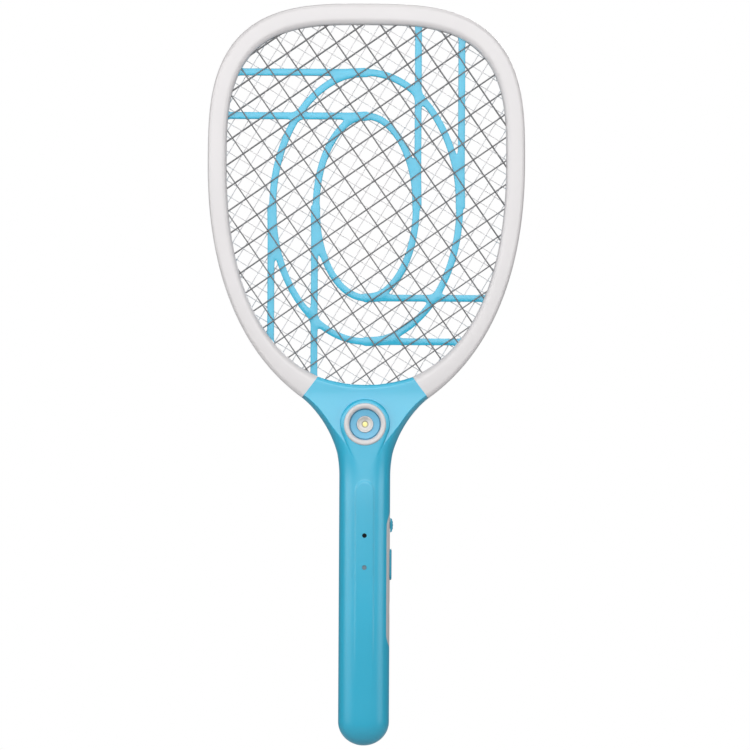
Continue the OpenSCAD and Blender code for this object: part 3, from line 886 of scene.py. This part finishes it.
# Torch boss: a disc with a pointed tail, flat down to BOSS_FLAT_Z
BOSS_R = 16.9
BOSS_TAIL = math.radians(20)
BOSS_FLAT_Z = 116.0
BOSS_MELT_RUN = (BOSS_FLAT_Z, 110)
BOSS_SINK_RUN = (103, 89)
BOSS_SINK = 0.18
BOSS_SOFT = 0.12
BOSS_ARC_STEPS = 72
BOSS_TAIL_STEPS = 40
BOSS_COLUMNS = 16
# (growth of the outline, depth below the face) of the rings down its rounded side
BOSS_EDGE = ((0.5, 7.0), (0.1, 1.5), (-0.15, 0.95), (-0.55, 0.5), (-1.05, 0.2), (-1.6, 0.05), (-2.2, 0.0))


def boss_outline(grow):
    """Right half of the torch boss's teardrop outline, from its top to the tip of its tail."""
    r = BOSS_R + grow
    sweep = math.pi / 2 + BOSS_TAIL
    arc = [math.pi / 2 - sweep * i / BOSS_ARC_STEPS for i in range(BOSS_ARC_STEPS + 1)]
    out = [Vector((r * math.cos(t), r * math.sin(t))) for t in arc]
    tip = Vector((0.0, -r / math.sin(BOSS_TAIL)))
    return out + [out[-1].lerp(tip, i / BOSS_TAIL_STEPS) for i in range(1, BOSS_TAIL_STEPS)]


def boss_depth(x, z):
    """Front of the boss: flat round the torch, then a tail that melts into the barrel."""
    if z > BOSS_FLAT_Z:
        return TORCH_FACE
    half = half_width_at(z)
    barrel = face_depth(x, z, half, depth_at(z), edge_at(z, half))
    blended = barrel + BOSS_SOFT * math.log(1 + math.exp((TORCH_FACE - barrel) / BOSS_SOFT))
    tail = blended - BOSS_SINK * blend(z, *BOSS_SINK_RUN)
    return TORCH_FACE + (tail - TORCH_FACE) * blend(z, *BOSS_MELT_RUN)


def torch_boss():
    """Boss round the torch that runs out into the barrel below."""
    verts = []
    for grow, drop in BOSS_EDGE:
        half = boss_outline(grow)
        for p in half + [Vector((-p.x, p.y)) for p in half[:0:-1]]:
            z = TORCH_Z + p.y
            verts.append((p.x, drop - boss_depth(p.x, z), z))
    n = 2 * len(half) - 1
    faces = ring_faces(len(BOSS_EDGE), n, caps=False)
    # back and front are filled with rows of quads between the left and the right side
    for base, front in ((0, False), ((len(BOSS_EDGE) - 1) * n, True)):
        rows = [[base]]
        for i in range(1, len(half)):
            right, left = verts[base + i], verts[base + n - i]
            start = len(verts)
            for k in range(1, BOSS_COLUMNS):
                x = left[0] + (right[0] - left[0]) * k / BOSS_COLUMNS
                y = -boss_depth(x, right[2]) if front else right[1]
                verts.append((x, y, right[2]))
            rows.append([base + n - i, *range(start, len(verts)), base + i])
        faces += [(rows[0][0], rows[1][k], rows[1][k + 1]) for k in range(BOSS_COLUMNS)]
        for upper, lower in zip(rows[1:], rows[2:]):
            faces += [(upper[k], lower[k], lower[k + 1], upper[k + 1]) for k in range(BOSS_COLUMNS)]
        faces.append(tuple(rows[-1]))
    return new_mesh("boss", verts, faces, 30)


def neck_cutter(t, y0, y1):
    """Everything above the neck's top edge and split lines, moved down by t."""
    side = (NECK_OUTER - NECK_INNER).normalized()
    normal = Vector((side.y, -side.x))
    top = NECK_INNER + Vector((-0.9, -1.1)) * t
    low = NECK_OUTER + normal * t
    below = low + side * 12
    arc = hanging_arc(top.x, top.y, THROAT_Z - t, 48)
    far_x, far_z = 120, 200
    loop = arc + [Vector((-low.x, low.y)), Vector((-below.x, below.y)), Vector((-far_x, below.y))]
    loop += [Vector((-far_x, far_z)), Vector((far_x, far_z)), Vector((far_x, below.y)), below, low]
    return prism("neck_cut", loop, facing, y0, y1)


def frame_slot(sign):
    """Cutter for the room that the stack of grids and spacers takes in the neck."""
    half_w, top = 46, 175
    loop = hanging_arc(half_w, STACK_LOW_Z + 3, STACK_LOW_Z - 0.3)
    loop += [Vector((-half_w, top)), Vector((half_w, top))]
    return prism("slot", loop, facing, sign * LIP_Y, -sign * 3)


def handle_shell(name, sign):
    """One half shell of the handle, cut like its CAD solid; sign is -1 for the front."""
    obj = handle_solid(name, sign, 0.0, 200, front_face if sign < 0 else rounded_throat)
    if sign < 0:
        boolean(obj, [torch_boss()], "UNION")
    cavity = handle_solid("cavity", sign, SHELL_WALL, 40, None, 4)
    cut(cavity, [neck_cutter(SHELL_WALL, -30, 30)])
    strip_bay = stadium(0, STRIP_Z, STRIP_W + 0.3, STRIP_LEN + 0.3)
    cutters = [
        neck_cutter(0.0, -30, 30),
        frame_slot(sign),
        prism("strip_bay", strip_bay, sideways, 11.2, 25),
    ]
    if sign < 0:
        cutters.append(prism("bore", disc(0, TORCH_Z, TORCH_BORE_R, 96), facing, -20, -6.5))
        for z in LED_PLACES:
            cutters.append(prism("led_hole", disc(0, z, INDICATOR_BORE_R, 40), facing, -20, -10))
    else:
        for x, z in HANDLE_SCREWS:
            seat = NECK_SEAT if z > NECK_SCREWS_Z else GRIP_SEAT
            cutters.append(prism("seat", disc(x, z, HANDLE_HOLE_R, 48), facing, seat, 20))
            cutters.append(prism("shank", disc(x, z, SHANK_HOLE_R, 32), facing, -1, 20))
    cut(obj, [cavity] + cutters, 32)
    return finish_piece(obj, "shell_blue", "swatter", name)


# ---------- torch
def torch_bezel():
    """White ring with a rounded face, a spigot in the boss's bore and a seat on its front."""
    r_out = (bezel_hi.x - bezel_lo.x) / 2
    r_in = 10.8
    r_spigot = TORCH_BORE_R - 0.1
    back = 10.5
    face = -bezel_lo.y
    seat = TORCH_FACE + 0.02
    profile = [(r_in, back), (r_spigot, back), (r_spigot, seat), (r_out, seat)]
    profile += corner(r_out - 1.2, face - 1.2, 1.2, 0, 85, 10)
    profile += corner(r_in + 2.1, face - 2.1, 2.1, 95, 180, 14)
    profile.append((r_in, 12.0))
    obj = lathe("torch_bezel", profile, (0, 0, TORCH_Z))
    return finish_piece(obj, "frame_white", "swatter", "torch_bezel")


def torch_dish():
    """Light-blue disc with fine rings, a groove at its edge and a collar behind its bore."""
    r = (dish_hi.x - dish_lo.x) / 2
    top = -dish_lo.y
    profile = [(5.7, 10.6), (6.7, 10.6), (6.7, 12.2), (r, 12.2), (r, top - 1.1)]
    profile += [(r - 0.35, top - 1.1), (r - 0.6, top - 0.25), (r - 0.8, top)]
    profile += [(r - 0.9 - 0.25 * i, top - 0.04 * (i % 2) - 0.025 * i) for i in range(12)]
    profile += corner(6.1, top - 0.65, 0.35, 70, 180)
    obj = lathe("torch_dish", profile, (0, 0, TORCH_Z))
    return finish_piece(obj, "dish_blue", "swatter", "torch_dish")


def torch_reflector():
    """Whitish cup that narrows to a lip in front of the LED."""
    r = (reflector_hi.x - reflector_lo.x) / 2
    top = -reflector_lo.y
    lip = -led_lo.y + 0.1
    profile = [(2.6, 8.6), (r, 8.6)] + corner(r - 0.3, top - 0.3, 0.3, 0, 170)
    cup = ((4.85, 0.5), (4.7, 1.2), (4.4, 2.2), (3.9, 3.2), (3.3, 3.8))
    profile += [(radius, top - drop) for radius, drop in cup]
    profile += [(2.6, lip + 0.3), (2.45, lip + 0.15), (2.45, lip), (2.6, lip)]
    obj = lathe("torch_reflector", profile, (0, 0, TORCH_Z))
    return finish_piece(obj, "reflector_white", "swatter", "torch_reflector")


DOME_ANGLES = (0.3, 0.6, 0.9, 1.2, 1.45)


def torch_led():
    """Round LED with a domed yellow chip in its well."""
    chip_lo, chip_hi = node_box("torch_led_chip")
    chip_r = (chip_hi.x - chip_lo.x) / 2 + 0.25
    body_r = 2.55
    back, face = -led_hi.y, -led_lo.y
    profile = [(0.02, back), (body_r - 0.05, back), (body_r, back + 0.1)]
    profile += [(body_r, face - 0.1), (body_r - 0.1, face), (0.02, face)]
    body = lathe("torch_led", profile, (0, 0, TORCH_Z), steps=64)
    well = disc(0, TORCH_Z, chip_r - 0.02, 40)
    cut(body, [prism("well", well, facing, led_lo.y - 0.2, chip_hi.y + 0.02)])
    finish_piece(body, "led_ceramic", "swatter", "torch_led")
    base = chip_hi.y - led_lo.y
    rise = 0.3
    dome = [(0.02, 0.0), (chip_r, 0.0), (chip_r, base)]
    dome += [(chip_r * math.cos(t), base + rise * math.sin(t)) for t in DOME_ANGLES]
    dome.append((0.02, base + rise))
    chip = lathe("torch_led_chip", dome, (0, chip_hi.y, TORCH_Z), steps=48)
    finish_piece(chip, "led_phosphor", "swatter", "torch_led_chip")


# ---------- side controls
STRIP_Z = (strip_lo.z + strip_hi.z) / 2
STRIP_LEN = strip_hi.z - strip_lo.z
STRIP_W = strip_hi.y - strip_lo.y
SLIDE_TRAVEL = 4.0
SLIDE_SLOT = (4.6, 5.6)
BUTTON_W, BUTTON_LEN = 6.8, 21.4
BUTTON_GAP = 0.5
SOCKET_BAY = (3.8, 9.5)


def bow(y):
    """Outer surface of the strip, bowed like the handle's side."""
    return GRIP_R - STRIP_BOW_R + math.sqrt(STRIP_BOW_R**2 - y * y)


def side_strip():
    """White strip with a slot for the knob and bays for the button and the socket."""
    outline = stadium(0, STRIP_Z, STRIP_W, STRIP_LEN, 40)
    obj = prism("side_strip", outline, sideways, strip_lo.x, strip_hi.x + 4)
    # everything outside the bowed surface comes off
    steps = 48
    half = STRIP_W / 2 + 2
    curve = [-half + 2 * half * i / steps for i in range(steps + 1)]
    loop = [(y, bow(y)) for y in curve] + [(half, 30.0), (-half, 30.0)]
    cut(obj, [prism("shaver", loop, lambda y, x, t: (x, y, t), -60, 90)])
    slot = stadium(0, KNOB_Z - SLIDE_TRAVEL / 2, SLIDE_SLOT[0], SLIDE_SLOT[1] + SLIDE_TRAVEL, 12)
    button_bay = stadium(0, BUTTON_Z, BUTTON_W + BUTTON_GAP, BUTTON_LEN + BUTTON_GAP, 24)
    socket_bay = stadium(0, SOCKET_Z, *SOCKET_BAY, 20)
    cut(obj, [prism("bay", opening, sideways, 10, 25) for opening in (slot, button_bay, socket_bay)])
    bevel(obj, 0.25, 2, 50)
    return finish_piece(obj, "frame_white", "swatter", "side_strip")


def slide_knob():
    """Ribbed thumb piece: a domed cap on a stem that reaches into the switch."""
    length = knob_hi.z - knob_lo.z
    width = 6.4
    base = GRIP_R + 0.15
    top = knob_hi.x
    ridge_h = 0.12
    rows, cols = 41, 17
    verts = []
    for i in range(rows):
        v = -1 + 2 * i / (rows - 1)
        for j in range(cols):
            u = -1 + 2 * j / (cols - 1)
            dome = math.sqrt(max(0.0, 1 - 0.86 * v * v)) * (1 - 0.22 * abs(u) ** 3.5)
            ridged = abs(v) < 0.78 and abs(u) < 0.85
            ridge = ridge_h * math.cos(v * math.pi * 4.5) if ridged else 0.0
            x = base + (top - base - ridge_h) * dome + ridge
            if abs(v) > 0.999 or abs(u) > 0.999:
                x = base + 0.25
            squeeze = math.sqrt(max(0.0, 1 - 0.35 * abs(v) ** 6))
            verts.append((x, u * width / 2 * squeeze, KNOB_Z + v * length / 2))
    faces = [
        (i * cols + j, i * cols + j + 1, (i + 1) * cols + j + 1, (i + 1) * cols + j)
        for i in range(rows - 1)
        for j in range(cols - 1)
    ]
    # the rim goes once round the cap's edge, and a skirt closes it below
    rim = [*range(cols)] + [i * cols + cols - 1 for i in range(1, rows)]
    rim += [(rows - 1) * cols + j for j in range(cols - 2, -1, -1)]
    rim += [i * cols for i in range(rows - 2, 0, -1)]
    start = len(verts)
    verts += [(base, verts[k][1], verts[k][2]) for k in rim]
    n = len(rim)
    faces += [(rim[k], rim[(k + 1) % n], start + (k + 1) % n, start + k) for k in range(n)]
    faces.append(tuple(start + k for k in range(n)))
    cap = new_mesh("slide_switch_knob", verts, faces, 40)
    finish_piece(cap, "control_blue", "slide_switch", "slide_switch_knob")
    block = rectangle(-2, KNOB_Z - 2.4, 2, KNOB_Z + 2.4)
    lever_hole = rectangle(-0.9, KNOB_Z - 1.2, 0.9, KNOB_Z + 1.2)
    stem = prism("slide_switch_stem", block, sideways, 11.2, base + 0.1)
    cut(stem, [prism("lever_hole", lever_hole, sideways, 11, 14.4)])
    bevel(stem, 0.2, 2)
    finish_piece(stem, "control_blue", "slide_switch")


def swat_button():
    """Long flush bar with a crowned top and a flange that keeps it behind the strip."""
    top = button_hi.x
    crown = (
        (0.0, 13.9), (0.0, top - 0.75), (0.08, top - 0.45), (0.28, top - 0.2),
        (0.62, top - 0.06), (1.2, top), (2.2, top),
    )
    verts = []
    for inset, x in crown:
        ring = stadium(0, BUTTON_Z, BUTTON_W - 2 * inset, BUTTON_LEN - 2 * inset, 24)
        verts += [(x, y, z) for y, z in ring]
    cap = new_mesh("swat_button", verts, ring_faces(len(crown), len(ring)), 40)
    finish_piece(cap, "control_blue", "button", "swat_button")
    flange = prism("swat_button_flange", stadium(0, BUTTON_Z, 9.4, 24.4), sideways, 12.8, 14.0)
    bevel(flange, 0.2, 2)
    finish_piece(flange, "control_blue", "button")
    boss = prism("swat_button_boss", disc(0, BUTTON_Z, 2.2, 40), sideways, 11.72, 12.9)
    finish_piece(boss, "control_blue", "button")


def socket_tongue():
    """Contact tongue that shows in the charging socket's mouth."""
    loop = rectangle(9.6, SOCKET_Z - 3.2, 15.0, SOCKET_Z + 3.2)
    obj = prism("charging_socket_tongue", loop, facing, -0.35, 0.35)
    bevel(obj, 0.12, 2)
    return finish_piece(obj, "black_plastic", "swatter")


# ---------- screws
def screw_head(x, z, seat, head_h, r, shank_r, tip):
    """Pan head with a cross recess and a plain shank; seat and tip are depths to the rear."""
    top = seat + head_h
    side = seat + head_h * 0.45
    profile = [(0.02, tip), (shank_r, tip + 0.6), (shank_r, seat), (r, seat), (r, side)]
    profile += [(r - 0.25, seat + head_h * 0.8), (r - 0.7, top), (0.02, top)]
    obj = lathe("screw", profile, (x, 0, z), out=1, steps=48)
    arm, slot_w = 0.62 * r, 0.24 * r
    cross = [
        prism("arm", rectangle(x - w, z - h, x + w, z + h), facing, side, seat + 4)
        for w, h in ((arm, slot_w / 2), (slot_w / 2, arm))
    ]
    cut(obj, cross)
    return obj


def join(name, objects):
    """One object from several."""
    bm = bmesh.new()
    for o in objects:
        bm.from_mesh(o.data)
    mesh = bpy.data.meshes.new(name)
    bm.to_mesh(mesh)
    bm.free()
    for o in objects:
        bpy.data.objects.remove(o)
    obj = bpy.data.objects.new(name, mesh)
    bpy.context.scene.collection.objects.link(obj)
    tidy_mesh(obj)
    return obj


def screws():
    """Frame screws, then the longer ones of the neck and grip."""
    frame_set = [
        screw_head(x, z, FRAME_SEAT + SEAT_PLAY, 1.2, 2.0, 0.85, -5.6) for x, z in FRAME_SCREWS
    ]
    finish_piece(join("head_frame_screws", frame_set), "screw_steel", "swatter", "head_frame_screws")
    grip_set = []
    for x, z in HANDLE_SCREWS:
        seat, head_h = (NECK_SEAT, 1.1) if z > NECK_SCREWS_Z else (GRIP_SEAT, 1.7)
        grip_set.append(screw_head(x, z, seat + SEAT_PLAY, head_h, 2.6, 1.0, -6.0))
    finish_piece(join("handle_screws", grip_set), "screw_steel", "swatter", "handle_screws")


# ---------- inner CAD nodes
def dress_cad_nodes():
    """Every CAD node gets its slot's procedural material."""
    slots = {row["node"]: row["material_slot"] for row in frame["record"]["subparts"]}
    for name, obj in frame["nodes"].items():
        obj.data.materials.clear()
        obj.data.materials.append(MATERIALS[slots[name]])


# ---------- stage (metres)
WORLD_FILL = 0.17
FLOOR_DROP = 0.3
FLOOR_R = 2.5
# name, place, target, (width, height), power
LIGHTS = (
    ("front", (0.0, -1.0, 0.47), (0.0, 0.0, 0.45), (1.1, 0.74), 6.9),
    ("left", (-1.35, -0.8, 0.45), (0.0, 0.0, 0.1), (1.5, 1.0), 11.5),
    ("right", (1.5, -0.9, 0.4), (0.0, 0.0, 0.05), (1.2, 1.0), 7.5),
    ("top", (0.1, -0.3, 1.6), (0.0, 0.0, 0.2), (1.2, 0.8), 5.5),
    ("high", (0.0, -1.1, 1.35), (0.0, 0.0, 0.1), (1.0, 0.5), 1.6),
    ("back", (0.6, 1.6, 1.0), (0.0, 0.0, 0.15), (1.4, 1.0), 20),
)


def surroundings():
    """World that is white to the camera and a weak fill light to everything else."""
    world = bpy.data.worlds.new("studio")
    bpy.context.scene.world = world
    world.use_nodes = True
    tree = world.node_tree
    seen = tree.nodes["Background"]
    fill = tree.nodes.new("ShaderNodeBackground")
    for background, strength in ((seen, 1.0), (fill, WORLD_FILL)):
        background.inputs["Color"].default_value = (1, 1, 1, 1)
        background.inputs["Strength"].default_value = strength
    mix = tree.nodes.new("ShaderNodeMixShader")
    path = tree.nodes.new("ShaderNodeLightPath")
    tree.links.new(path.outputs["Is Camera Ray"], mix.inputs["Fac"])
    tree.links.new(fill.outputs[0], mix.inputs[1])
    tree.links.new(seen.outputs[0], mix.inputs[2])
    tree.links.new(mix.outputs[0], tree.nodes["World Output"].inputs["Surface"])


def pale_floor():
    """Round floor below the handle; its own glow shows to the camera only."""
    bm = bmesh.new()
    bmesh.ops.create_circle(bm, cap_ends=True, segments=96, radius=FLOOR_R)
    mesh = bpy.data.meshes.new("floor")
    bm.to_mesh(mesh)
    bm.free()
    floor = bpy.data.objects.new("floor", mesh)
    floor.location = (0, 0, GRIP_BOTTOM * MM - FLOOR_DROP)
    bpy.context.scene.collection.objects.link(floor)
    mat = bpy.data.materials.new("floor")
    mat.use_nodes = True
    shader = mat.node_tree.nodes["Principled BSDF"]
    shader.inputs["Base Color"].default_value = (0.45, 0.45, 0.45, 1)
    shader.inputs["Roughness"].default_value = 0.8
    shader.inputs["Emission Color"].default_value = (0.6, 0.6, 0.6, 1)
    path = mat.node_tree.nodes.new("ShaderNodeLightPath")
    mat.node_tree.links.new(path.outputs["Is Camera Ray"], shader.inputs["Emission Strength"])
    floor.data.materials.append(mat)


def area_light(name, place, target, size, power):
    """Soft box that the camera can't see."""
    data = bpy.data.lights.new(name, "AREA")
    data.shape = "RECTANGLE"
    data.size, data.size_y = size
    data.energy = power
    light = bpy.data.objects.new(name, data)
    light.location = place
    light.rotation_euler = (Vector(target) - Vector(place)).to_track_quat("-Z", "Y").to_euler()
    light.visible_camera = False
    bpy.context.scene.collection.objects.link(light)


# Camera: the width it takes in and the point that it is centred on, in millimetres
VIEW_W = 515.846
VIEW_X = 6.672
VIEW_Z = 154.828
CAMERA_DISTANCE = 6.0
CAMERA_ROLL = math.radians(-0.3)


def camera():
    """Long lens square on to the front, framing the whole height."""
    data = bpy.data.cameras.new("camera")
    data.sensor_width = 36.0
    data.lens = data.sensor_width * CAMERA_DISTANCE / (VIEW_W * MM)
    data.clip_end = 100.0
    obj = bpy.data.objects.new("camera", data)
    obj.location = (VIEW_X * MM, -CAMERA_DISTANCE, VIEW_Z * MM)
    obj.rotation_euler = (math.pi / 2, CAMERA_ROLL, 0)
    bpy.context.scene.collection.objects.link(obj)
    bpy.context.scene.camera = obj


dress_cad_nodes()
head_frame("head_frame_front", -1)
head_frame("head_frame_rear", 1)
# each family of wires: angle, pitch, shift of the first one from GRID_CENTRE, and count to each side
OUTER_FAMILIES = ((GRID_ANGLE, 13.3, -5.76, 12), (GRID_ANGLE - 90, 16.0, -3.7, 11))
FINE_FAMILIES = ((FINE_ANGLE, 8.6, -5.58, 18), (FINE_ANGLE - 90, 8.6, -3.87, 18))
WIRE_END_F = 0.62
wire_loop = stack_outline(WIRE_END_F, STACK_LOW_Z + 1)
outer_y = -(outer_grid_lo.y + outer_grid_hi.y) / 2
wire_grid("front_grid", "grid_steel", -outer_y, WIRE_R, OUTER_FAMILIES, wire_loop)
wire_grid("rear_grid", "grid_steel", outer_y, WIRE_R, OUTER_FAMILIES, wire_loop)
wire_grid("middle_grid", "fine_grid_steel", 0.0, FINE_WIRE_R, FINE_FAMILIES, wire_loop, 8)
spacer("spacer_front")
spacer("spacer_rear")
handle_shell("handle_front_shell", -1)
handle_shell("handle_rear_shell", 1)
torch_bezel()
torch_dish()
torch_reflector()
torch_led()
side_strip()
slide_knob()
swat_button()
socket_tongue()
screws()
bpy.context.scene.view_settings.view_transform = "Standard"
surroundings()
pale_floor()
for light in LIGHTS:
    area_light(*light)
camera()
